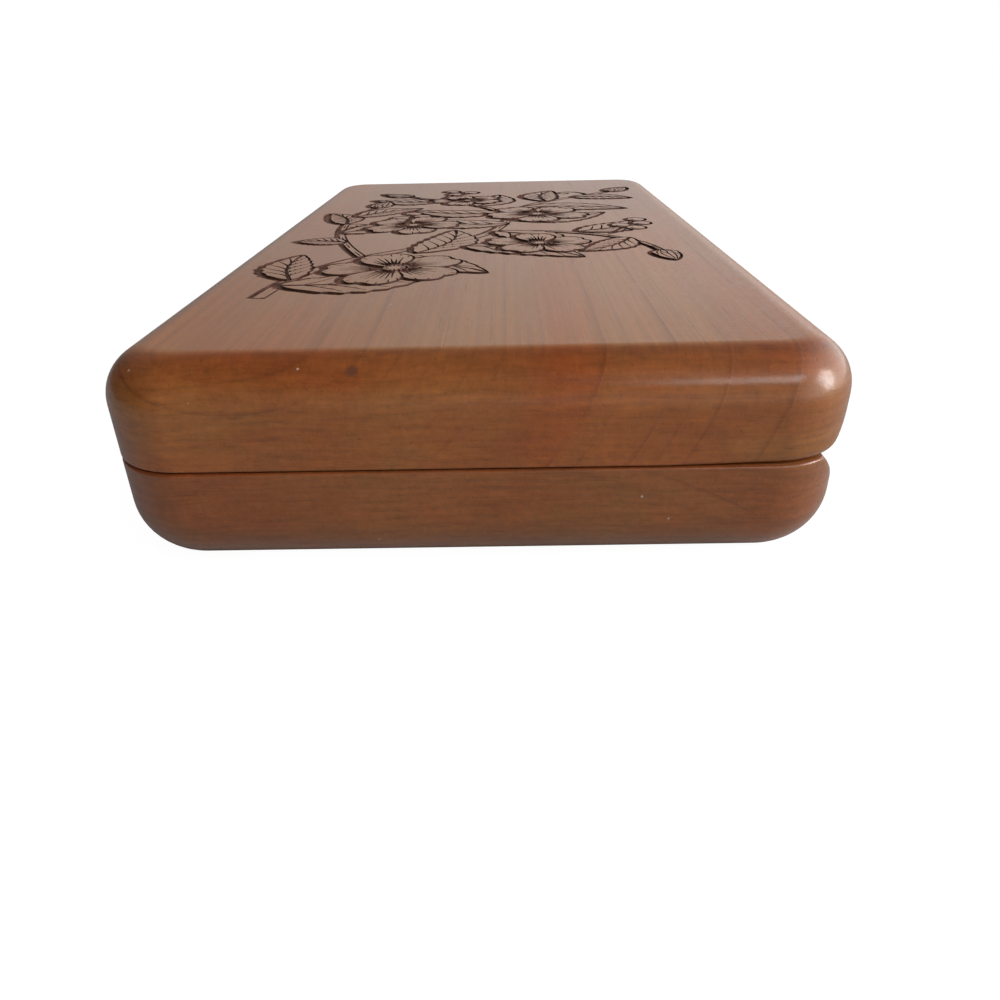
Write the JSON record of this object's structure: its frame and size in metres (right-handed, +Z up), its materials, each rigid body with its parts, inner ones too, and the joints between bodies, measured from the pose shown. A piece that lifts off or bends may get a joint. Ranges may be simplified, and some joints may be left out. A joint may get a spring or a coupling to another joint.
{
  "type": "sliding lid wooden box",
  "caption": "Flat solid-wood box whose upper half slides off lengthwise on dovetail runners; felt-lined tray, magnets that hold it shut, and a finger groove along the seam on one side.",
  "frame": {"origin": "centre of the flat underside that the box rests on", "axes": "+Z up, +Y along the length in the direction in which the lid slides off, +X towards the long side with the finger groove"},
  "size_m": [0.1, 0.182, 0.0302],
  "materials": {
    "tray_wood": "satin lacquer over red-brown hardwood",
    "lid_wood": "satin lacquer over pinkish-brown hardwood, engraved and burnt on top",
    "runner_wood": "waxed, planed hardwood",
    "lining_felt": "pressed dark brown felt",
    "screw_brass": "turned, slightly dulled",
    "magnet_plating": "bright nickel plating"
  },
  "bodies": {
    "base": {"base_tray": "tray_wood", "tray_lining": "lining_felt", "tray_magnets": "magnet_plating"},
    "lid": {"lid_shell": "lid_wood", "left_runner": "runner_wood", "right_runner": "runner_wood", "runner_screws": "screw_brass", "lid_magnets": "magnet_plating"}
  },
  "joints": [
    {"name": "lid_slide", "type": "slide", "parent": "base", "child": "lid", "axis": [0, 1, 0], "range_m": [0, 0.174]}
  ]
}
